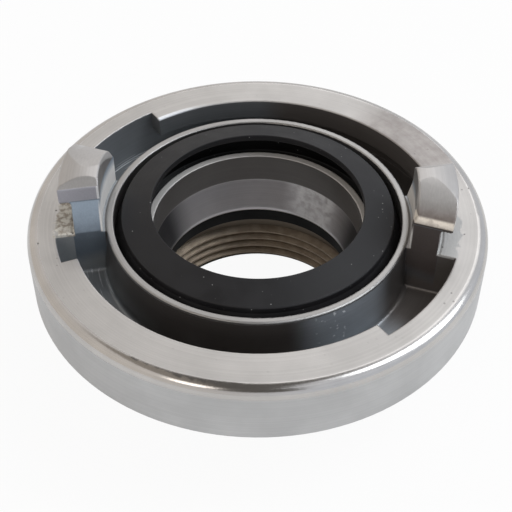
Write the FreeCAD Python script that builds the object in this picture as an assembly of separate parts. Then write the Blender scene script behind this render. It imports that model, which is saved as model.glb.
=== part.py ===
import FreeCAD, Part
import math
import os

# Fixed half of a claw coupling for a 52 mm fire or water hose, cast in aluminium and finished on a lathe.
# The coupling has no male and no female side: two equal halves face each other, the two hooked claws of one
# enter the two slots of the other, and a part of a turn draws each hook along the ramp under the other's lip.
# Lengths are millimetres and angles are degrees. The origin is at the centre of the socket's end face, +Z
# points towards the claws, and the claws stand on the +X and -X sides.

# Spacing between the inner faces of the claws: it sets the size of the coupling
claw_spacing = 66.0

# Ring that carries the lips
ring_wall = 6.1
ring_height = 13.8
rim_edge_radius = 2.2
ring_base_edge_radius = 0.4
lip_gap = 0.55
undercut_gap = 4.0
floor_thickness = 3.4
lip_thickness = 5.0
ramp_rise = 0.8

# Spanner neck and threaded socket under the ring
neck_length = 20.5
neck_wall = 5.1
neck_flats = 8
neck_root_height = 1.5
neck_end_chamfer = 1.2
thread_major_r = 23.9
thread_length = 11.7
thread_mouth_chamfer = 0.8
relief_depth = 0.8
relief_height = 4.6
shoulder_width = 3.1
shoulder_land = 0.8
cone_height = 7.1

# Collar that guides and holds the seal
collar_gap = 0.8
collar_top_wall = 1.5
collar_foot_wall = 2.6
collar_rise = 0.4
collar_edge_radius = 0.25
collar_foot_radius = 1.0
seal_groove_width = 6.6
seal_spigot_wall = 1.5
seal_spigot_edge_radius = 0.12
seal_spigot_depth = 3.1
seal_groove_depth = 9.3
seal_undercut = 0.9
seal_undercut_height = 2.4

# Claws
claw_half_angle = 14.45
claw_wall = 5.9
hook_reach = 2.5
claw_height = 11.3
hook_height = 6.4
ridge_offset = 3.8
ridge_radius = 14.0
inner_crown_drop = 0.7
outer_crown_drop = 1.3
hook_edge_radius = 0.8
claw_edge_radius = 0.4
hook_root_radius = 0.8
bridge_drop = 0.25

# Ends of a claw: the nose leads into the other half's slot, the heel follows it
end_draft = 0.9
end_foot_radius = 0.8
nose_height = 8.0
nose_run = 7.5
nose_radius = 26.0
nose_edge_radius = 1.6
heel_lean = 2.7
heel_height = 10.0
heel_run = 2.0
heel_radius = 4.0
heel_edge_radius = 0.6
end_overcut = 0.2
bevel_low_height = 6.2
bevel_width = 1.4
bevel_rise = 2.4
bevel_run = 9.0
bevel_top_drop = 0.5

# Openings beside a claw, as angles round the axis
slot_angle = 35.6
notch_angle = 10.9

# Rubber seal in the collar and rubber washer in the socket
seal_rise = 3.0
seal_top_fall = 1.9
seal_top_inset = 1.7
seal_lip_thickness = 1.5
seal_cavity_depth = 2.4
seal_cavity_floor_drop = 2.6
seal_edge_radius = 0.35
rubber_clearance = 0.1
washer_overhang = 0.7
washer_thickness = 3.7

# Heights and radii that follow from the sizes above
claw_inner_r = claw_spacing / 2
claw_outer_r = claw_inner_r + claw_wall
hook_outer_r = claw_outer_r + hook_reach
lip_inner_r = claw_outer_r + lip_gap
undercut_r = claw_outer_r + undercut_gap
ring_outer_r = undercut_r + ring_wall
collar_outer_r = claw_inner_r - collar_gap
collar_inner_r = collar_outer_r - collar_top_wall
collar_foot_r = collar_inner_r + collar_foot_wall
spigot_outer_r = collar_inner_r - seal_groove_width
waterway_r = spigot_outer_r - seal_spigot_wall
seal_top_outer_r = collar_inner_r - seal_top_inset
relief_r = thread_major_r + relief_depth
shoulder_bore_r = thread_major_r - shoulder_width
washer_inner_r = shoulder_bore_r + washer_overhang
neck_r = thread_major_r + neck_wall
neck_end_r = neck_r - neck_end_chamfer
rim_z = neck_length + ring_height
floor_z = neck_length + floor_thickness
collar_z = rim_z + collar_rise
spigot_z = rim_z - seal_spigot_depth
groove_z = rim_z - seal_groove_depth
groove_foot_r = collar_inner_r + seal_undercut
shoulder_z = thread_length + relief_height
land_z = shoulder_z + shoulder_land
cone_z = land_z + cone_height
claw_z = rim_z + claw_height
slot_start = -claw_half_angle
slot_end = slot_start - slot_angle
notch_end = claw_half_angle + notch_angle
lip_angle = 180.0 + slot_end - notch_end
flat_angle = 360.0 / neck_flats
overlap = 0.4
cut_angle = 1.0
straight_share = 0.96
shortest_run = 1e-9


def rounded_outline(corners):
    """Closed wire in the XZ plane through (x, z, radius) corners, with a tangent arc at each radius.

    An arc that would run past the straight stretches beside it is made smaller.
    """
    count = len(corners)
    points = [FreeCAD.Vector(c[0], 0, c[1]) for c in corners]
    radii = [c[2] if len(c) > 2 else 0.0 for c in corners]
    lengths = [points[i].distanceToPoint(points[(i + 1) % count]) for i in range(count)]
    befores = [(points[i - 1] - points[i]).normalize() for i in range(count)]
    afters = [(points[(i + 1) % count] - points[i]).normalize() for i in range(count)]
    halves = [befores[i].getAngle(afters[i]) / 2 for i in range(count)]
    runs = [radii[i] / math.tan(halves[i]) for i in range(count)]
    starts = []
    ends = []
    edges = []
    for i in range(count):
        room_before = straight_share * lengths[i - 1] / max(runs[i - 1] + runs[i], shortest_run)
        room_after = straight_share * lengths[i] / max(runs[i] + runs[(i + 1) % count], shortest_run)
        run = runs[i] * min(1.0, room_before, room_after)
        starts.append(points[i] + befores[i] * run)
        ends.append(points[i] + afters[i] * run)
    for i in range(count):
        if radii[i] > 0:
            radius = starts[i].distanceToPoint(points[i]) * math.tan(halves[i])
            bisector = (befores[i] + afters[i]).normalize()
            middle = points[i] + bisector * (radius / math.sin(halves[i]) - radius)
            edges.append(Part.Arc(starts[i], middle, ends[i]).toShape())
        edges.append(Part.LineSegment(ends[i], starts[(i + 1) % count]).toShape())
    return Part.Wire(edges)


def turned(corners, angle=360.0, start=0.0):
    """Solid made by turning a rounded outline about the Z axis, from a start angle."""
    face = Part.Face(rounded_outline(corners))
    solid = face.revolve(FreeCAD.Vector(0, 0, 0), FreeCAD.Vector(0, 0, 1), angle)
    solid.rotate(FreeCAD.Vector(0, 0, 0), FreeCAD.Vector(0, 0, 1), start)
    return solid


def ring_sector(inner_r, outer_r, low_z, high_z, start, angle):
    """Plain block of an annulus, used for the slots, notches and undercuts."""
    corners = [(inner_r, low_z), (outer_r, low_z), (outer_r, high_z), (inner_r, high_z)]
    return turned(corners, angle, start)


def ring_and_collar():
    """Lathe work of the casting, before the claws and the slots: ring, floor, collar and bores."""
    return turned([
        (thread_major_r, thread_mouth_chamfer),
        (thread_major_r + thread_mouth_chamfer, 0),
        (neck_end_r, 0),
        (neck_end_r, neck_length),
        (ring_outer_r, neck_length, ring_base_edge_radius),
        (ring_outer_r, rim_z, rim_edge_radius),
        (lip_inner_r, rim_z, collar_edge_radius),
        (lip_inner_r, floor_z),
        (collar_foot_r, floor_z, collar_foot_radius),
        (collar_outer_r, collar_z, collar_edge_radius),
        (collar_inner_r, collar_z, collar_edge_radius),
        (collar_inner_r, groove_z + seal_undercut_height),
        (groove_foot_r, groove_z + seal_undercut_height),
        (groove_foot_r, groove_z),
        (spigot_outer_r, groove_z),
        (spigot_outer_r, spigot_z, seal_spigot_edge_radius),
        (waterway_r, spigot_z, seal_spigot_edge_radius),
        (waterway_r, cone_z),
        (shoulder_bore_r, land_z),
        (shoulder_bore_r, shoulder_z),
        (relief_r, shoulder_z),
        (relief_r, thread_length),
        (thread_major_r, thread_length),
    ])


def spanner_neck():
    """Flats for a spanner round the socket, chamfered at the end by a cone and bored like the lathe work."""
    corner_r = neck_r / math.cos(math.radians(flat_angle / 2))
    corners = []
    for i in range(neck_flats + 1):
        a = math.radians(flat_angle * (i + 0.5))
        corners.append(FreeCAD.Vector(corner_r * math.cos(a), corner_r * math.sin(a), 0))
    prism = Part.Face(Part.makePolygon(corners)).extrude(FreeCAD.Vector(0, 0, neck_length + overlap))
    envelope = turned([
        (relief_r + overlap, 0),
        (neck_r - neck_end_chamfer / 2, 0),
        (corner_r + neck_end_chamfer, neck_end_chamfer + corner_r - neck_r),
        (corner_r + neck_end_chamfer, neck_length + overlap),
        (relief_r + overlap, neck_length + overlap),
    ])
    return prism.common(envelope)


def neck_root():
    """Cast cone that stiffens the corner between the neck and the back of the ring."""
    return turned([
        (neck_end_r, neck_length + overlap),
        (neck_end_r, neck_length - neck_root_height),
        (neck_r, neck_length - neck_root_height),
        (neck_r + neck_root_height, neck_length),
        (neck_r + neck_root_height, neck_length + overlap),
    ])


def lip_undercut():
    """Room under one lip, with a sloping roof: the ramp that pulls the two halves together."""
    middle = notch_end + lip_angle / 2
    room = ring_sector(claw_outer_r, undercut_r, floor_z, rim_z, notch_end - cut_angle, lip_angle + 2 * cut_angle)
    reach = 2 * ring_outer_r
    chord = 2 * undercut_r * math.sin(math.radians(lip_angle / 2))
    lean = math.degrees(math.atan2(ramp_rise, chord))
    depth = 2 * ring_height
    below = Part.makeBox(2 * reach, 2 * reach, depth)
    below.translate(FreeCAD.Vector(-reach, -reach, -depth))
    below.rotate(FreeCAD.Vector(0, 0, 0), FreeCAD.Vector(1, 0, 0), lean)
    below.rotate(FreeCAD.Vector(0, 0, 0), FreeCAD.Vector(0, 0, 1), middle)
    below.translate(FreeCAD.Vector(0, 0, rim_z - lip_thickness))
    return room.common(below)


def claw_openings():
    """Slot before a claw for the other half's claw, and the shorter notch behind it."""
    slot = ring_sector(claw_outer_r, undercut_r, floor_z, rim_z + overlap, slot_end, slot_angle)
    notch = ring_sector(claw_outer_r, undercut_r, floor_z, rim_z + overlap, claw_half_angle, notch_angle)
    return [slot, notch]


def end_cutter(profile, side):
    """Prism that shapes one end of a claw; profile holds (outward, z, radius) corners, side is -1 or +1."""
    reach = ring_outer_r
    clear = reach / 2
    corners = [(side * c[0], c[1]) + tuple(c[2:]) for c in profile]
    corners.append((-side * clear, claw_z + end_overcut))
    corners.append((-side * clear, claw_z + clear))
    corners.append((side * clear, claw_z + clear))
    corners.append((side * clear, floor_z))
    face = Part.Face(rounded_outline(corners))
    prism = face.extrude(FreeCAD.Vector(0, -reach, 0))
    prism.rotate(FreeCAD.Vector(0, 0, 0), FreeCAD.Vector(0, 0, 1), 90)
    prism.rotate(FreeCAD.Vector(0, 0, 0), FreeCAD.Vector(0, 0, 1), side * claw_half_angle)
    return prism


def nose_bevel():
    """Block that planes the inner top corner of a claw, most at the nose and nothing further back."""
    turn = math.radians(-claw_half_angle)
    far_turn = turn + bevel_run / claw_inner_r
    up = FreeCAD.Vector(0, 0, 1)
    outwards = FreeCAD.Vector(math.cos(turn), math.sin(turn), 0)
    far_outwards = FreeCAD.Vector(math.cos(far_turn), math.sin(far_turn), 0)
    low = outwards * claw_inner_r + up * (rim_z + bevel_low_height)
    high = low + outwards * bevel_width + up * bevel_rise
    far = far_outwards * claw_inner_r + up * (claw_z - bevel_top_drop)
    normal = (far - low).cross(high - low)
    if normal.z < 0:
        normal = -normal
    side = ring_outer_r
    block = Part.makeBox(side, side, side, FreeCAD.Vector(-side / 2, -side / 2, 0))
    block.Placement = FreeCAD.Placement(low, FreeCAD.Rotation(up, normal)).multiply(block.Placement)
    return block


def claw():
    """One claw with its bridge to the ring: stem, hook that reaches outwards, crowned top and shaped ends."""
    hook_z = rim_z + hook_height
    bridge_z = rim_z - bridge_drop
    ridge_r = claw_inner_r + ridge_offset
    inner_fall = math.atan2(inner_crown_drop, ridge_r - claw_inner_r)
    outer_fall = math.atan2(outer_crown_drop, hook_outer_r - ridge_r)
    ridge_extra = ridge_radius / math.cos((inner_fall + outer_fall) / 2) - ridge_radius
    ridge_z = claw_z + ridge_extra
    margin = math.degrees((end_draft + end_foot_radius) / claw_inner_r) + cut_angle
    half = claw_half_angle + margin
    block = turned([
        (collar_foot_r - collar_top_wall, floor_z - overlap),
        (undercut_r + overlap, floor_z - overlap),
        (undercut_r + overlap, bridge_z),
        (claw_outer_r, bridge_z, claw_edge_radius),
        (claw_outer_r, hook_z, hook_root_radius),
        (hook_outer_r, hook_z, claw_edge_radius),
        (hook_outer_r, ridge_z - outer_crown_drop, hook_edge_radius),
        (ridge_r, ridge_z, ridge_radius),
        (claw_inner_r, ridge_z - inner_crown_drop, claw_edge_radius),
        (claw_inner_r, bridge_z),
        (collar_foot_r - collar_top_wall, bridge_z),
    ], 2 * half, -half)
    nose_z = rim_z + nose_height
    nose = end_cutter([
        (end_draft, floor_z, end_foot_radius),
        (0, rim_z),
        (0, nose_z, nose_edge_radius),
        (-nose_run, claw_z + end_overcut, nose_radius),
    ], -1)
    heel = end_cutter([
        (end_draft, floor_z, end_foot_radius),
        (0, rim_z, heel_edge_radius),
        (-heel_lean, hook_z, heel_edge_radius),
        (-heel_lean, rim_z + heel_height, heel_edge_radius),
        (-heel_lean - heel_run, claw_z + end_overcut, heel_radius),
    ], 1)
    return block.cut([nose, heel, nose_bevel()])


def both_sides(shapes):
    """The same shapes again after half a turn, because a half coupling has two claws."""
    result = []
    for shape in shapes:
        other = shape.copy()
        other.rotate(FreeCAD.Vector(0, 0, 0), FreeCAD.Vector(0, 0, 1), 180)
        result.append(shape)
        result.append(other)
    return result


def coupling_body():
    """The one casting: ring with lips and slots, collar, claws, spanner neck and threaded socket."""
    blank = ring_and_collar().fuse([spanner_neck(), neck_root()])
    cuts = both_sides([lip_undercut()] + claw_openings())
    body = blank.cut(cuts).fuse(both_sides([claw()]))
    return body.removeSplitter()


def seal_ring():
    """Rubber seal: a foot held under the collar's wall and a lip that the water presses on the other seal."""
    top_z = rim_z + seal_rise
    outer_top_z = top_z - seal_top_fall
    top_wall_r = collar_inner_r - rubber_clearance
    foot_r = groove_foot_r - rubber_clearance
    foot_z = groove_z + seal_undercut_height - rubber_clearance
    inner_r = spigot_outer_r + rubber_clearance
    cavity_low_z = spigot_z - seal_cavity_floor_drop
    cavity_r = inner_r + seal_cavity_depth
    lip_z = top_z - seal_lip_thickness
    return turned([
        (inner_r, groove_z),
        (foot_r, groove_z),
        (foot_r, foot_z),
        (top_wall_r, foot_z),
        (top_wall_r, spigot_z, seal_edge_radius),
        (seal_top_outer_r, outer_top_z - seal_lip_thickness, seal_edge_radius),
        (seal_top_outer_r, outer_top_z, seal_edge_radius),
        (waterway_r, top_z, seal_edge_radius / 2),
        (waterway_r, lip_z, seal_edge_radius),
        (cavity_r, (lip_z + spigot_z) / 2, seal_edge_radius),
        (cavity_r, (spigot_z + cavity_low_z) / 2, seal_edge_radius),
        (inner_r, cavity_low_z, seal_edge_radius),
    ])


def thread_washer():
    """Flat rubber washer against the socket's shoulder, held in the relief above the thread."""
    outer_r = relief_r - rubber_clearance
    low_z = shoulder_z - washer_thickness
    return turned([
        (washer_inner_r, low_z),
        (outer_r, low_z),
        (outer_r, shoulder_z),
        (washer_inner_r, shoulder_z),
    ])


parts = {
    "coupling_body": coupling_body(),
    "seal_ring": seal_ring(),
    "thread_washer": thread_washer(),
}
for name, shape in parts.items():
    solid = shape.Solids[0] if len(shape.Solids) == 1 else shape
    solid.exportStep("parts/" + name + ".step")
    box = solid.BoundBox
    print(name, "solids", len(shape.Solids), "valid", solid.isValid(), "volume", round(solid.Volume, 1),
          "z", round(box.ZMin, 2), round(box.ZMax, 2), "faces", len(solid.Faces))
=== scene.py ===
# %% [markdown]
# # Fixed half of a claw coupling
# This notebook dresses a machined part for its portrait. The exact shape comes from the CAD file; here we
# give it metal, rubber and a screw thread, then a floor, light and a camera. Run the cells from top to
# bottom. Each one is short and prints what it made, so you can check one idea at a time.
#
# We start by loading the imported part.

# %% Load the part
import math

import bpy
from mathutils import Matrix, Vector


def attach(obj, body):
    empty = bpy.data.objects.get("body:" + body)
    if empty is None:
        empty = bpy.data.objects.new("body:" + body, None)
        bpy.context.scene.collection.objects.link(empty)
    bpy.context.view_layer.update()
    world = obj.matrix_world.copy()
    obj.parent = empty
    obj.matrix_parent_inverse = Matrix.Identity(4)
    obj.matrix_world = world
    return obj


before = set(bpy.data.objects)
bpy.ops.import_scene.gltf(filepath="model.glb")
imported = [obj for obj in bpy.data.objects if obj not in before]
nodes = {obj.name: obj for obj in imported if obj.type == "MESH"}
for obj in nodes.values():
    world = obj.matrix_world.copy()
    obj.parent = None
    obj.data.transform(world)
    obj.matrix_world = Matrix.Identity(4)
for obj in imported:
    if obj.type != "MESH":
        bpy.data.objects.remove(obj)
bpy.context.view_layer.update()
print("nodes:", sorted(nodes))

# %% [markdown]
# ## The numbers that the looks depend on
# Blender works in metres, but a fitting like this is drawn in millimetres, so all our numbers are
# millimetres and `MM` turns them into metres. A name that ends in R is a radius, one that ends in Z is a
# height above the end face. They tell the materials where the rim ends, where the channel starts and so on.

# %% Sizes in millimetres
MM = 0.001
RIM_Z = 34.3            # flat rim of the ring
RIM_EDGE_R = 46.8       # where the rim's rounded edge starts
RING_R = 49.0           # outer wall of the ring
LIP_R = 39.45           # inner edge of the two lips
UNDERCUT_R = 42.9       # outer wall of the channel, under the lips
FLOOR_Z = 23.9          # floor of the channel between ring and collar
CLAW_INNER_R = 33.0
CLAW_OUTER_R = 38.9
CLAW_HALF_ANGLE = 14.45
CLAW_END_ANGLE = 9.4    # from a claw's middle to where its end faces start
HOOK_R = 41.4           # how far the hooks reach out
HOOK_Z = 40.7           # underside of the hooks
HEEL_TOP_Z = 44.3       # upper edge of the claws' steep ends
SHELF_R = 42.6          # how far the rough shelves below the hooks reach out
COLLAR_R = 32.2
COLLAR_INNER_R = 30.7
SEAL_SHADE_R = 27.0     # inside this radius and below the next height the seal lies in shade
SEAL_SHADE_Z = 35.4
SPIGOT_R = 24.1         # outer face of the wall that stands inside the seal
SPIGOT_Z = 31.2         # top of that wall
WATERWAY_R = 22.6
CONE_Z = 24.2           # upper edge of the cone in the waterway
SHOULDER_Z = 16.3       # ledge above the socket
RELIEF_R = 24.7         # groove that holds the washer
THREAD_MAJOR_R = 23.9
THREAD_CREST_R = 22.42
THREAD_PITCH = 2.309
THREAD_END_Z, THREAD_HIGH_Z = 0.05, 8.6
print("thread turns:", round((THREAD_HIGH_Z - THREAD_END_Z) / THREAD_PITCH, 1))

# %% [markdown]
# ## Small helpers for node trees
# A shader is a graph of nodes. Written out by hand it soon fills pages, so a few helpers do the wiring.
# `add` makes a node and plugs values or other nodes into its inputs, and `calc` does arithmetic. `step` is a
# soft change from one value to another, `band` a soft mask that is 1 between two limits, and `both` the
# overlap of masks. Everything we paint later is a mix of such masks.

# %% Node helpers
def add(tree, kind, inputs=None, out=0, **settings):
    """Make a node, set its properties, connect or set its inputs, and return one of its output sockets."""
    node = tree.nodes.new(kind)
    for key, value in settings.items():
        setattr(node, key, value)
    for key, value in (inputs or {}).items():
        socket = node.inputs[key]
        if isinstance(value, bpy.types.NodeSocket):
            tree.links.new(value, socket)
        else:
            socket.default_value = value
    return None if out is None else node.outputs[out]


def calc(tree, operation, a, b=0.0, c=0.0):
    """One Math node."""
    return add(tree, "ShaderNodeMath", {0: a, 1: b, 2: c}, operation=operation)


def step(tree, value, start, end, low=0.0, high=1.0):
    """A smooth change from low to high while value goes from start to end."""
    return add(tree, "ShaderNodeMapRange", {"Value": value, "From Min": start, "From Max": end,
                                            "To Min": low, "To Max": high}, interpolation_type="SMOOTHSTEP")


def band(tree, value, low, high, soft=0.2):
    """1 between low and high, fading to 0 over a distance soft on both sides."""
    rise = step(tree, value, low - soft, low)
    fall = step(tree, value, high, high + soft, 1.0, 0.0)
    return calc(tree, "MULTIPLY", rise, fall)


def both(tree, *masks):
    """The overlap of several masks."""
    result = masks[0]
    for mask in masks[1:]:
        result = calc(tree, "MULTIPLY", result, mask)
    return result


print("node helpers ready")

# %% [markdown]
# Colours get helpers of their own. `srgb` turns a screen colour into the linear values that light is worked
# out with, `mix_color` lays one colour over another, and `tint` makes a colour lighter or darker.

# %% Colour helpers
def srgb(code):
    """Hex colour, as read off a screen, to the linear values that shaders use."""
    values = [int(code[i:i + 2], 16) / 255 for i in (0, 2, 4)]
    return [v / 12.92 if v <= 0.04045 else ((v + 0.055) / 1.055) ** 2.4 for v in values] + [1.0]


def mix_color(tree, mask, a, b, blend="MIX"):
    """Colour a where the mask is 0, colour b where it is 1."""
    node = tree.nodes.new("ShaderNodeMix")
    node.data_type = "RGBA"
    node.blend_type = blend
    for socket, value in ((node.inputs[0], mask), (node.inputs[6], a), (node.inputs[7], b)):
        if isinstance(value, bpy.types.NodeSocket):
            tree.links.new(value, socket)
        else:
            socket.default_value = value
    return node.outputs[2]


def tint(tree, color, shade):
    """Multiply a colour by a number."""
    grey = add(tree, "ShaderNodeCombineColor", {0: shade, 1: shade, 2: shade})
    return mix_color(tree, 1.0, color, grey, "MULTIPLY")


print("mid grey in linear light:", round(srgb("808080")[0], 3))

# %% [markdown]
# ## Where am I on the part?
# The part was turned on a lathe, so the natural coordinates are radius, angle and height. This node group
# turns the object's own coordinates into those three, in millimetres and degrees, once for all materials.
# Object coordinates stay with the part, so nothing swims when the camera moves.

# %% Lathe coordinates
lathe = bpy.data.node_groups.new("Lathe coordinates", "ShaderNodeTree")
for name, kind in (("Radius", "NodeSocketFloat"), ("Angle", "NodeSocketFloat"),
                   ("Height", "NodeSocketFloat"), ("Point", "NodeSocketVector")):
    lathe.interface.new_socket(name, in_out="OUTPUT", socket_type=kind)
here = add(lathe, "ShaderNodeTexCoord", out="Object")
point = add(lathe, "ShaderNodeVectorMath", {0: here, "Scale": 1 / MM}, operation="SCALE")
x, y, z = add(lathe, "ShaderNodeSeparateXYZ", {0: point}).node.outputs
radius = calc(lathe, "SQRT", calc(lathe, "MULTIPLY_ADD", x, x, calc(lathe, "MULTIPLY", y, y)))
angle = calc(lathe, "DEGREES", calc(lathe, "ARCTAN2", y, x))
add(lathe, "NodeGroupOutput", {"Radius": radius, "Angle": angle, "Height": z, "Point": point}, out=None)
print("sockets:", [item.name for item in lathe.interface.items_tree])

# %% [markdown]
# ## Starting a material
# `begin` makes an empty material with a Principled shader, and hands back the lathe coordinates inside it.
# Noise makes most surfaces believable, so it gets helpers too: `noise` is cloudy, `spots` makes scattered
# dots for pits and dust, and `rings` makes tool marks.

# %% Material helpers
def begin(name):
    """New material with its tree, Principled shader, radius, angle, height and point."""
    material = bpy.data.materials.new(name)
    material.use_nodes = True
    tree = material.node_tree
    shader = next(n for n in tree.nodes if n.type == "BSDF_PRINCIPLED")
    group = tree.nodes.new("ShaderNodeGroup")
    group.node_tree = lathe
    return material, tree, shader, [group.outputs[k] for k in ("Radius", "Angle", "Height", "Point")]


def noise(tree, vector, scale, detail=3.0, rough=0.55):
    """Cloudy noise from 0 to 1; scale is in blobs per millimetre."""
    inputs = {"Vector": vector, "Scale": scale, "Detail": detail, "Roughness": rough}
    return add(tree, "ShaderNodeTexNoise", inputs)


def spots(tree, vector, scale, size, keep):
    """Scattered dots: 1 in the middle of a dot, 0 elsewhere. Only a share keep of the cells has one."""
    cell = add(tree, "ShaderNodeTexVoronoi", {"Vector": vector, "Scale": scale}, out="Distance").node
    chosen = add(tree, "ShaderNodeSeparateColor", {0: cell.outputs["Color"]})
    shape = step(tree, cell.outputs["Distance"], size * 0.5, size, 1.0, 0.0)
    return both(tree, shape, step(tree, chosen, keep, keep + 0.01, 1.0, 0.0))


def rings(tree, radius, height, angle, period):
    """Fine concentric tool marks, slightly uneven, for turned faces."""
    along = add(tree, "ShaderNodeCombineXYZ", {0: calc(tree, "DIVIDE", radius, period),
                                               1: calc(tree, "DIVIDE", height, period),
                                               2: calc(tree, "MULTIPLY", angle, 0.012)})
    return noise(tree, along, 1.0, 2.0, 0.4)


def smooth_by_angle(obj, limit=32):
    """Smooth shading, except across edges sharper than the limit in degrees."""
    obj.data.shade_smooth()
    obj.data.set_sharp_from_angle(angle=math.radians(limit))


print("material helpers ready")

# %% [markdown]
# ## Aluminium, one region at a time
# The casting is a single piece of metal, but it doesn't look the same everywhere: the rim is turned bright,
# the channel behind it is dark and glossy, its darkness partly painted shade, the shelves below the hooks
# are rough as cast, and the cone deep inside is mottled. Some regions carry painted highlights, reflections
# and shade as well. We describe every region by a mask made from radius `R`, angle `A` and height `Z`, and
# later stack the regions like layers of paint.
#
# The ring comes first. `from_claw` counts the degrees from the middle of the nearest claw.

# %% Masks of the ring and the channel
metal, tree, shader, (R, A, Z, P) = begin("cast_aluminium")
side_angle = calc(tree, "ABSOLUTE", A)
right_side = step(tree, side_angle, 60, 80, 1.0, 0.0)
left_side = step(tree, side_angle, 80, 100)
from_claw = calc(tree, "MINIMUM", side_angle, calc(tree, "SUBTRACT", 180.0, side_angle))
# Blotchy noise for real tarnish and frayed shelves, also breaking up painted highlights and shade.
blotches = noise(tree, P, 0.6)
rim_face = both(tree, band(tree, R, LIP_R, RIM_EDGE_R), band(tree, Z, RIM_Z - 0.1, RIM_Z + 0.2, 0.05))
rim_edge = both(tree, step(tree, R, RIM_EDGE_R - 0.4, RIM_EDGE_R),
                band(tree, Z, RIM_Z - 2.3, RIM_Z + 1, 0.3))
outer_wall = both(tree, step(tree, R, RING_R - 1.5, RING_R - 0.8),
                  step(tree, Z, RIM_Z - 2.7, RIM_Z - 2.1, 1.0, 0.0))
tarnish = both(tree, rim_face, band(tree, A, 30, 50, 14), step(tree, blotches, 0.2, 0.8, 0.6, 1.0))
# Painted highlight: a bright blue-white line along the inner edge of the lip at the back left.
lip_edge_highlight = both(tree, band(tree, R, LIP_R - 0.1, LIP_R + 0.6, 0.4), band(tree, A, 132, 150, 24),
                step(tree, Z, RIM_Z - 0.5, RIM_Z - 0.3))
# The channel's dark colour is partly the metal's and partly painted shade of the recess.
channel = both(tree, band(tree, R, COLLAR_R - 0.3, UNDERCUT_R + 0.4, 0.1),
               band(tree, Z, FLOOR_Z - 0.3, RIM_Z - 0.35))
# Painted light: the left part of the channel is lighter, as the side that faces the right lamp.
lit_channel_left = both(tree, channel, step(tree, side_angle, 115, 150))
# Painted reflection: a bluish sheen at the back left of the channel.
channel_back_left_reflection = both(tree, channel, band(tree, A, 95, 160, 12))
# Painted reflection: a light band at the front right of the channel, where a lamp is mirrored.
channel_front_reflection = both(tree, channel, band(tree, A, -62, -42, 14))
# Painted shade: the channel next to the collar's wall is darker.
shaded_collar_wall = both(tree, channel, step(tree, R, COLLAR_R + 0.4, COLLAR_R + 1.4, 1.0, 0.0))
collar = both(tree, band(tree, R, COLLAR_INNER_R - 0.3, COLLAR_R + 0.1, 0.1),
              band(tree, Z, RIM_Z + 0.05, RIM_Z + 1))
print("ring masks made with", len(tree.nodes), "nodes")

# %% [markdown]
# Each claw is a stem with a hook on top. One end of it, the heel, is steep; the other, the nose, is long and
# leans. The part looks the same after half a turn, and so does the sine of twice the angle, which is why it
# tells heels from noses. Below each hook lies a rough shelf, whose outer border is frayed by noise. Several
# claw masks are painted light and shade: lighter upper stems and inner faces, shade on the right stem and
# on and under the right nose, and highlights on the nose's edge and the left heel.

# %% Masks of the claws
in_claw = step(tree, from_claw, CLAW_HALF_ANGLE + 0.6, CLAW_HALF_ANGLE + 1.2, 1.0, 0.0)
stem = both(tree, band(tree, R, CLAW_INNER_R - 0.3, CLAW_OUTER_R + 0.2),
            band(tree, Z, FLOOR_Z + 1, HOOK_Z, 0.3), in_claw)
# Painted highlight: the stems are lighter towards the top, under the hooks.
stem_top_highlight = both(tree, stem, step(tree, calc(tree, "MULTIPLY_ADD", blotches, 4.0, Z), RIM_Z - 0.3, RIM_Z + 7.7))
# Painted shade: the front half of the right stem, below its hook, is darker.
right_stem_shade = both(tree, stem, right_side, step(tree, A, 0, 4, 1.0, 0.0))
# Painted light: a light strip on the inner faces of the claws, just above the rim.
lit_claw_inside = both(tree, band(tree, R, CLAW_INNER_R - 0.3, CLAW_INNER_R + 0.3), in_claw,
                   step(tree, Z, RIM_Z - 0.4, RIM_Z), step(tree, Z, RIM_Z + 3.5, RIM_Z + 7, 1.0, 0.0))
claw_top = both(tree, band(tree, R, CLAW_INNER_R - 1, HOOK_R + 1.1),
                step(tree, Z, HOOK_Z - 0.2, HOOK_Z + 0.3))
claw_end = both(tree, claw_top, step(tree, from_claw, CLAW_END_ANGLE, CLAW_END_ANGLE + 0.5))
heel_side = step(tree, calc(tree, "SINE", calc(tree, "MULTIPLY", A, math.pi / 90)), -0.1, 0.1)
heel = both(tree, claw_end, heel_side, step(tree, Z, HEEL_TOP_Z - 0.1, HEEL_TOP_Z + 0.1, 1.0, 0.0))
glint = both(tree, heel, band(tree, R, CLAW_INNER_R - 1, CLAW_INNER_R + 0.4, 0.15), left_side)
nose_side = both(tree, calc(tree, "SUBTRACT", 1.0, heel_side), right_side)
nose_shade = both(tree, claw_top, nose_side, step(tree, from_claw, 6.5, 13.5),
                  step(tree, blotches, 0.2, 0.7, 0.8, 1.0))
# Painted highlight: a light line along the lower edge of the right nose, broken up by noise.
nose_edge_highlight = both(tree, claw_end, nose_side, band(tree, Z, HOOK_Z + 0.8, HOOK_Z + 1.8, 0.3),
                 step(tree, blotches, 0.25, 0.5, 0.6, 1.0))
# Painted shade: the right nose's end face below that line is darker.
nose_under_shade = both(tree, claw_end, nose_side, step(tree, Z, HOOK_Z + 0.6, HOOK_Z + 0.8, 1.0, 0.0))
frayed_R = calc(tree, "ADD", R, step(tree, blotches, 0.25, 0.75, -0.7, 0.7))
shelf = both(tree, step(tree, R, CLAW_OUTER_R - 0.1, CLAW_OUTER_R),
             step(tree, frayed_R, SHELF_R, SHELF_R + 0.5, 1.0, 0.0), in_claw,
             band(tree, Z, RIM_Z - 0.5, RIM_Z + 0.3))
shelf_left = both(tree, shelf, left_side)
shelf_stain = both(tree, shelf_left, step(tree, noise(tree, P, 0.9, 4.0), 0.42, 0.62))
print("with the claws:", len(tree.nodes), "nodes")

# %% [markdown]
# The bore is simpler, because everything in it is round: the top of the spigot inside the seal, the waterway
# with its cone, and the socket below the shoulder. The cone gets painted shade at its left and right ends.

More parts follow.
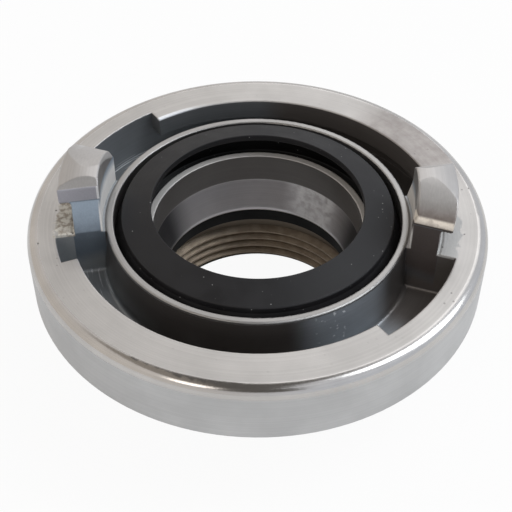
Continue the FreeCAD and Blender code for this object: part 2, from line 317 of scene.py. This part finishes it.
# %% Masks of the bore
spigot = both(tree, band(tree, R, WATERWAY_R - 0.2, SPIGOT_R + 0.2, 0.1),
              band(tree, Z, SPIGOT_Z - 0.08, SPIGOT_Z + 0.5, 0.08))
waterway = both(tree, step(tree, R, SPIGOT_R + 0.3, SPIGOT_R + 0.4, 1.0, 0.0),
                step(tree, Z, SHOULDER_Z - 0.1, SHOULDER_Z + 0.1))
cone = both(tree, waterway, step(tree, Z, CONE_Z - 0.1, CONE_Z + 0.3, 1.0, 0.0))
from_back = calc(tree, "ABSOLUTE", calc(tree, "SUBTRACT", A, 90.0))
# Painted shade: the cone is darker at its left and right ends.
cone_side_shade = both(tree, cone, step(tree, from_back, 45, 72))
socket = both(tree, step(tree, R, RELIEF_R + 0.5, RELIEF_R + 0.7, 1.0, 0.0),
              step(tree, Z, SHOULDER_Z, SHOULDER_Z + 0.3, 1.0, 0.0))
print("with the bore:", len(tree.nodes), "nodes")

# %% [markdown]
# Tools and use leave marks that run round the part. The scratches in the channel and the scuffs on the cone
# are noise that is stretched along the angle, so that it turns into thin curved lines; a limit on the noise
# decides how many of them there are. The scuffs also carry a painted highlight: they are lightest in a patch
# at the back right of the cone. The chips on the collar's wall are the peaks of plain noise.

# %% Scratches, chips and scuffs
def streaks(tree, fine, long, least):
    """Thin lines round the axis: fine is lines per mm, long is changes per degree, least the limit."""
    along = add(tree, "ShaderNodeCombineXYZ", {0: calc(tree, "MULTIPLY", R, fine),
                                               1: calc(tree, "MULTIPLY", Z, fine),
                                               2: calc(tree, "MULTIPLY", A, long)})
    return step(tree, noise(tree, along, 1.0, 3.0, 0.6), least, least + 0.08)


low_channel = both(tree, channel, step(tree, Z, FLOOR_Z + 0.3, FLOOR_Z + 0.8, 1.0, 0.0))
scratches = both(tree, low_channel, streaks(tree, 1.6, 0.05, 0.56), step(tree, side_angle, 95, 115))
chips = both(tree, channel, band(tree, A, -64, -54, 2), step(tree, noise(tree, P, 0.9), 0.62, 0.66))
bright_marks = calc(tree, "MAXIMUM", scratches, chips)
# Painted highlight: the scuffs on the cone are light and lie in a patch at the back right.
scuffed_and_lit = calc(tree, "MAXIMUM", streaks(tree, 1.1, 0.09, 0.56), step(tree, blotches, 0.35, 0.6, 0.4, 1.0))
scuffs_and_highlight = both(tree, cone, band(tree, A, 50, 66, 14), scuffed_and_lit)
print("with the marks of use:", len(tree.nodes), "nodes")

# %% [markdown]
# Now the layers. A light, slightly warm grey goes below everything; each further line puts one region over
# it. The noise that breaks up a region is multiplied in with the colour, so no area is perfectly flat. Last
# come the pits, which are many near the claws and few elsewhere.

# %% Colours and roughness of the casting
cloud = noise(tree, P, 0.09)
grain = noise(tree, P, 1.6)
turned_marks = rings(tree, R, Z, A, 0.32)
# Some of these layers paint light and shade into the colour, as the comments by their masks say.
layers = [
    # title, mask, colour, roughness, metallic
    ("rim face", rim_face, "c3c0bd", 0.4, 1.0),
    ("rim edge", rim_edge, "cbc8c5", 0.16, 1.0),
    ("outer wall", outer_wall, "c6c6c6", 0.34, 1.0),
    ("claw tops", claw_top, "c4c1bf", 0.42, 1.0),
    ("rim tarnish", tarnish, "a39d9a", 0.45, 1.0),
    ("heels", heel, "b9b8c0", 0.6, 0.35),
    ("shaded nose", nose_shade, "766b65", 0.5, 0.5),
    ("under the nose", nose_under_shade, "5b5450", 0.5, 0.5),
    ("painted highlight on the nose edge", nose_edge_highlight, "efe6da", 0.4, 0.3),
    ("glint on the heel", glint, "ffffff", 0.3, 0.1),
    ("channel", channel, "6f6a67", 0.32, 0.45),
    ("left channel", lit_channel_left, "a3a6a8", 0.32, 0.45),
    ("back left of the channel", channel_back_left_reflection, "7b7e81", 0.3, 0.45),
    ("bright lip edge", lip_edge_highlight, "f6f9fd", 0.35, 0.2),
    ("collar wall", shaded_collar_wall, "54504e", 0.3, 0.5),
    ("front of the channel", channel_front_reflection, "9da2a8", 0.32, 0.45),
    ("scratches and chips", bright_marks, "dcdee0", 0.4, 0.3),
    ("stems", stem, "7c8691", 0.38, 0.6),
    ("upper stems", stem_top_highlight, "a2b0be", 0.36, 0.6),
    ("right stem", right_stem_shade, "645c59", 0.38, 0.5),
    ("insides of the claws", lit_claw_inside, "e6e3df", 0.5, 0.2),
    ("shelves", shelf, "c4c3c1", 0.6, 0.5),
    ("left shelf", shelf_left, "e0dcd3", 0.7, 0.3),
    ("stains on the left shelf", shelf_stain, "ada397", 0.7, 0.4),
    ("collar", collar, "a6a4a2", 0.34, 1.0),
    ("waterway", waterway, "64615f", 0.35, 0.45),
    ("cone", cone, "dedbde", 0.38, 0.75),
    ("ends of the cone", cone_side_shade, "505053", 0.38, 0.75),
    ("painted highlight and scuff lines on the cone", scuffs_and_highlight, "fbfcff", 0.5, 0.1),
    ("spigot", spigot, "d8d4d0", 0.45, 0.25),
    ("socket", socket, "7d7264", 0.4, 0.5),
]
color = srgb("c3c1bf")
rough, metallic = 0.4, 1.0
for title, mask, tone, gloss, metal_share in layers:
    color = mix_color(tree, mask, color, srgb(tone))
    rough = step(tree, mask, 0.0, 1.0, rough, gloss)
    metallic = step(tree, mask, 0.0, 1.0, metallic, metal_share)
color = tint(tree, color, step(tree, cloud, 0.3, 0.7, 0.93, 1.05))
color = tint(tree, color, step(tree, turned_marks, 0.2, 0.8, 0.95, 1.04))
near_claw = step(tree, from_claw, 20, 40, 1.0, 0.1)
pits = both(tree, spots(tree, P, 0.6, 0.19, 0.35), calc(tree, "MAXIMUM", rim_face, shelf), near_claw)
color = mix_color(tree, calc(tree, "MULTIPLY", pits, 0.75), color, srgb("4b4744"))
print("layers:", [layer[0] for layer in layers])

# %% [markdown]
# Bumps finish the metal: tool marks everywhere, a fine grain that is stronger on the cast shelves, and pits.
# A Bevel node rounds every sharp edge by a few tenths of a millimetre, so that edges catch the light as real
# ones do.

# %% Relief of the casting
soft_edges = add(tree, "ShaderNodeBevel", {"Radius": 0.45 * MM}, samples=6)
height = calc(tree, "MULTIPLY", turned_marks, 0.25)
for marks, share in ((grain, 0.12), (both(tree, grain, shelf), 0.6), (pits, -0.8)):
    height = calc(tree, "MULTIPLY_ADD", marks, share, height)
relief = add(tree, "ShaderNodeBump", {"Strength": 0.5, "Distance": 0.12 * MM, "Height": height,
                                      "Normal": soft_edges})
surface = {"Base Color": color, "Roughness": rough, "Metallic": metallic, "Normal": relief}
for name, value in surface.items():
    tree.links.new(value, shader.inputs[name])
body = nodes["coupling_body"]
body.data.materials.clear()
body.data.materials.append(metal)
smooth_by_angle(body)
print("casting:", len(body.data.polygons), "faces,", len(tree.nodes), "nodes in its material")

# %% [markdown]
# ## Rubber
# The seal and the washer are black rubber. Rubber is never quite black: a soft sheen shows its shape, and
# dust settles on it. The dust is the same dots that made the pits, this time light on dark. Only the inside
# of the seal, where no light gets in, is close to black.

# %% Rubber materials
def rubber(name, tone, gloss, dust):
    """Matte black rubber with faint clouds and a share of dust specks."""
    material, tree, shader, (R, A, Z, P) = begin(name)
    cloud = noise(tree, P, 0.15, 4.0)
    base = mix_color(tree, step(tree, cloud, 0.35, 0.7), srgb(tone), srgb("201f21"))
    inside = both(tree, step(tree, R, SEAL_SHADE_R - 0.1, SEAL_SHADE_R + 0.1, 1.0, 0.0),
                  step(tree, Z, SEAL_SHADE_Z - 0.2, SEAL_SHADE_Z + 0.2, 1.0, 0.0))
    base = mix_color(tree, inside, base, srgb("060606"))
    specks = both(tree, spots(tree, P, 1.1, 0.17, dust), step(tree, cloud, 0.35, 0.6, 0.2, 0.8))
    base = mix_color(tree, specks, base, srgb("a8a8a6"))
    marks = rings(tree, R, Z, A, 0.9)
    relief = add(tree, "ShaderNodeBump", {"Strength": 0.3, "Distance": 0.1 * MM, "Height": marks})
    tree.links.new(base, shader.inputs["Base Color"])
    tree.links.new(step(tree, cloud, 0.3, 0.7, gloss - 0.06, gloss + 0.08), shader.inputs["Roughness"])
    tree.links.new(relief, shader.inputs["Normal"])
    shader.inputs["Specular IOR Level"].default_value = 0.35
    return material


for node, slot_name, tone, gloss, dust in (("seal_ring", "seal_rubber", "19181a", 0.5, 0.14),
                                           ("thread_washer", "washer_rubber", "101010", 0.7, 0.0)):
    nodes[node].data.materials.clear()
    nodes[node].data.materials.append(rubber(slot_name, tone, gloss, dust))
    smooth_by_angle(nodes[node])
    print(node, "is", slot_name)

# %% [markdown]
# ## The screw thread, with Geometry Nodes
# In the CAD file the socket is a plain bore, because a helix there is slow to build and to check. Here
# Geometry Nodes draws it: a Spiral curve climbs by one pitch each turn, and Curve to Mesh slides a small
# trapezoid along it. The group's inputs are the real thread sizes, so another pipe size is a matter of
# typing new numbers.

# %% Node group for the thread
group = bpy.data.node_groups.new("Internal thread", "GeometryNodeTree")
group.interface.new_socket("Geometry", in_out="OUTPUT", socket_type="NodeSocketGeometry")
sizes = {"Major radius": THREAD_MAJOR_R, "Crest radius": THREAD_CREST_R, "Pitch": THREAD_PITCH,
         "End face": THREAD_END_Z, "High": THREAD_HIGH_Z}
for name, value in sizes.items():
    socket_item = group.interface.new_socket(name, in_out="INPUT", socket_type="NodeSocketFloat")
    socket_item.default_value = value * MM
group.interface.new_socket("Material", in_out="INPUT", socket_type="NodeSocketMaterial")
given = {s.name: s for s in group.nodes.new("NodeGroupInput").outputs}
low = calc(group, "SUBTRACT", given["End face"], given["Pitch"])
climb = calc(group, "SUBTRACT", given["High"], low)
turns = calc(group, "DIVIDE", climb, given["Pitch"])
spiral = add(group, "GeometryNodeCurveSpiral", {"Resolution": 96, "Rotations": turns, "Reverse": True,
                                                "Start Radius": given["Major radius"],
                                                "End Radius": given["Major radius"], "Height": climb})
lowered = add(group, "ShaderNodeCombineXYZ", {2: low})
placed = add(group, "GeometryNodeTransform", {"Geometry": spiral, "Translation": lowered})
level = add(group, "GeometryNodeSetCurveNormal", {0: placed}, mode="Z_UP")
print("thread inputs:", list(sizes))

# %% [markdown]
# The tooth is a closed polyline with a flat crest and slanting flanks, as in a real pipe thread. The spiral
# starts one pitch too low, and Set Position lifts what hangs below the end face up to it, which cuts the
# thread off flat. Realize Instances and Set Material end the group.

# %% The tooth, slid along the spiral
depth = calc(group, "SUBTRACT", given["Major radius"], given["Crest radius"])
inward = calc(group, "MULTIPLY", depth, -1.0)
half_base = calc(group, "MULTIPLY", given["Pitch"], 0.46)
half_crest = calc(group, "MULTIPLY", given["Pitch"], 0.09)
corners = {}
for i, (across, along, sign) in enumerate(((0.0, half_base, 1.0), (inward, half_crest, 1.0),
                                           (inward, half_crest, -1.0), (0.0, half_base, -1.0)), 1):
    signed = calc(group, "MULTIPLY", along, sign)
    corners["Point %d" % i] = add(group, "ShaderNodeCombineXYZ", {0: across, 1: signed})
tooth = add(group, "GeometryNodeCurvePrimitiveQuadrilateral", corners, mode="POINTS")
swept = add(group, "GeometryNodeCurveToMesh", {"Curve": level, "Profile Curve": tooth, "Fill Caps": True})
spot = add(group, "ShaderNodeSeparateXYZ", {0: add(group, "GeometryNodeInputPosition")}).node.outputs
lifted = calc(group, "MAXIMUM", spot[2], given["End face"])
cut = add(group, "ShaderNodeCombineXYZ", {0: spot[0], 1: spot[1], 2: lifted})
faced = add(group, "GeometryNodeSetPosition", {"Geometry": swept, "Position": cut})
real = add(group, "GeometryNodeRealizeInstances", {"Geometry": faced})
coated = add(group, "GeometryNodeSetMaterial", {"Geometry": real, "Material": given["Material"]})
group.links.new(coated, group.nodes.new("NodeGroupOutput").inputs[0])
print("thread group:", len(group.nodes), "nodes")

# %% [markdown]
# The group now runs once, with the real sizes and a dull brown metal, and its result is frozen to a plain
# mesh that no longer needs it.

# %% The finished thread
def thread_material():
    """Dark, slightly brown metal with a little sheen, as a cut thread that has seen water."""
    material, tree, shader, (R, A, Z, P) = begin("thread_metal")
    cloud = noise(tree, P, 0.4)
    brown = mix_color(tree, step(tree, cloud, 0.3, 0.7), srgb("8b7d6d"), srgb("a39482"))
    tree.links.new(brown, shader.inputs["Base Color"])
    shader.inputs["Metallic"].default_value = 0.6
    shader.inputs["Roughness"].default_value = 0.45
    return material


def frozen(group, name, values):
    """Run a node group on an empty mesh and return the result as a plain mesh object."""
    carrier = bpy.data.objects.new(name + "_carrier", bpy.data.meshes.new(name + "_carrier"))
    bpy.context.scene.collection.objects.link(carrier)
    modifier = carrier.modifiers.new(name, "NODES")
    modifier.node_group = group
    for item in group.interface.items_tree:
        if item.in_out == "INPUT" and item.name in values:
            modifier[item.identifier] = values[item.name]
    bpy.context.view_layer.update()
    evaluated = carrier.evaluated_get(bpy.context.evaluated_depsgraph_get())
    mesh = bpy.data.meshes.new_from_object(evaluated)
    bpy.data.objects.remove(carrier)
    obj = bpy.data.objects.new(name, mesh)
    bpy.context.scene.collection.objects.link(obj)
    return obj


values = {name: value * MM for name, value in sizes.items()}
values["Material"] = thread_material()
thread = frozen(group, "socket_thread", values)
smooth_by_angle(thread, 25)
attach(thread, "root")
radii = [math.hypot(v.co.x, v.co.y) / MM for v in thread.data.vertices]
levels = [v.co.z / MM for v in thread.data.vertices]
print("thread radii:", round(min(radii), 2), round(max(radii), 2))
print("thread heights:", round(min(levels), 2), round(max(levels), 2))

# %% [markdown]
# ## Floor and surroundings
# The photograph has a plain white ground. The floor is a pale plane that keeps the part's soft shadow: what
# the camera sees is mostly white, mixed with a share of the lit paper. Rays that come off the metal get a
# smaller share of that white, so the metal mirrors a light table and not a lamp.

# %% Floor
WHITE_TO_CAMERA, WHITE_TO_METAL = 0.94, 0.3
bpy.ops.mesh.primitive_plane_add(size=6.0)
floor = bpy.context.object
floor.name = "floor"
paper = bpy.data.materials.new("paper")
paper.use_nodes = True
tree = paper.node_tree
tree.nodes.clear()
lit = add(tree, "ShaderNodeBsdfDiffuse", {"Color": (0.82, 0.82, 0.82, 1.0)})
white = add(tree, "ShaderNodeEmission", {"Color": (1.0, 1.0, 1.0, 1.0), "Strength": 1.0})
ray = add(tree, "ShaderNodeLightPath").node.outputs
seen = calc(tree, "MAXIMUM", ray["Is Camera Ray"], ray["Is Transmission Ray"])
share = calc(tree, "MULTIPLY_ADD", ray["Is Glossy Ray"], WHITE_TO_METAL,
             calc(tree, "MULTIPLY", seen, WHITE_TO_CAMERA))
mixed = add(tree, "ShaderNodeMixShader", {0: share, 1: lit, 2: white})
add(tree, "ShaderNodeOutputMaterial", {"Surface": mixed}, out=None)
floor.data.materials.append(paper)
print("floor ready")

# %% [markdown]
# The world is what the metal mirrors. To the camera it is plain white. To reflections it is a pale tent, a
# little warm on the left and cool on the right, with two darker strips overhead and a dark patch in front,
# where the photographer leans over the part. Its colour depends only on the direction: `rise` above the
# horizon and `side` round it, both in degrees.

# %% World
world = bpy.context.scene.world or bpy.data.worlds.new("World")
bpy.context.scene.world = world
world.use_nodes = True
tree = world.node_tree
tree.nodes.clear()
direction = add(tree, "ShaderNodeTexCoord", out="Generated")
sky = add(tree, "ShaderNodeSeparateXYZ", {0: direction}).node.outputs
rise = calc(tree, "DEGREES", calc(tree, "ARCSINE", sky[2]))
side = calc(tree, "DEGREES", calc(tree, "ARCTAN2", sky[1], sky[0]))
tent = mix_color(tree, step(tree, sky[0], -0.9, 0.9), srgb("dcd6cf"), srgb("dfe4ec"))
overhead = step(tree, rise, 54, 60)
left_strip = both(tree, overhead, band(tree, sky[0], -0.48, -0.14, 0.07))
middle_strip = both(tree, overhead, band(tree, sky[0], -0.14, 0.13, 0.05))
photographer = both(tree, band(tree, rise, 36, 62, 5), band(tree, side, -103, -66, 5))
for patch, tone in ((left_strip, "9a938b"), (middle_strip, "63605d"), (photographer, "63605d")):
    tent = mix_color(tree, patch, tent, srgb(tone))
ray = add(tree, "ShaderNodeLightPath").node.outputs
seen = calc(tree, "MAXIMUM", ray["Is Camera Ray"], ray["Is Transmission Ray"])
tent = mix_color(tree, seen, tent, (1.0, 1.0, 1.0, 1.0))
back = add(tree, "ShaderNodeBackground", {"Color": tent, "Strength": 1.0})
add(tree, "ShaderNodeOutputWorld", {"Surface": back}, out=None)
print("world ready")

# %% [markdown]
# ## Light
# Three soft lamps: a faint one high behind the part, a large cool one high on the right and a small warm one
# in front on the left. They give soft shadows and long highlights along the rounded edge of the rim.

# %% Lamps
def lamp(name, position, wide, high, power, color):
    """Area lamp that looks at the middle of the part; position and size in metres."""
    light = bpy.data.lights.new(name, "AREA")
    light.shape = "ELLIPSE"
    light.size, light.size_y = wide, high
    light.energy = power
    light.color = color
    obj = bpy.data.objects.new(name, light)
    obj.location = position
    obj.rotation_euler = (Vector((0, 0, 0.02)) - obj.location).to_track_quat("-Z", "Y").to_euler()
    bpy.context.scene.collection.objects.link(obj)


lamp("back_light", (0.1, 0.9, 0.9), 0.7, 0.7, 1.0, (1.0, 1.0, 1.0))
lamp("right_light", (0.6, 0.1, 0.74), 0.5, 0.8, 3.2, (0.92, 0.97, 1.0))
lamp("left_light", (-0.33, -0.62, 0.7), 0.25, 0.35, 0.5, (1.0, 0.92, 0.84))

# %% [markdown]
# ## Camera
# The camera was fitted to the photograph: its distance, height and lens make the rim, the collar and the
# thread all fall where the photograph shows them at once. Its slight roll is the photographer's.

# %% Camera
eye = Vector((12.39, -177.22, 195.67)) * MM
target = Vector((-0.329, -0.023, 21.22)) * MM
roll = math.radians(0.3)
camera_data = bpy.data.cameras.new("camera")
camera_data.sensor_width = 36.0
camera_data.lens = 78.95
camera = bpy.data.objects.new("camera", camera_data)
camera.location = eye
turn = (target - eye).to_track_quat("-Z", "Y").to_matrix().to_4x4()
camera.rotation_euler = (turn @ Matrix.Rotation(roll, 4, "Z")).to_euler()
camera_data.clip_start, camera_data.clip_end = 0.01, 20.0
bpy.context.scene.collection.objects.link(camera)
bpy.context.scene.camera = camera
print("camera distance in mm:", round((eye - target).length / MM, 1))

# %% [markdown]
# ## The end of the notebook
# Plain display settings, so that colours render as they are written.

# %% Finish
bpy.context.scene.view_settings.view_transform = "Standard"
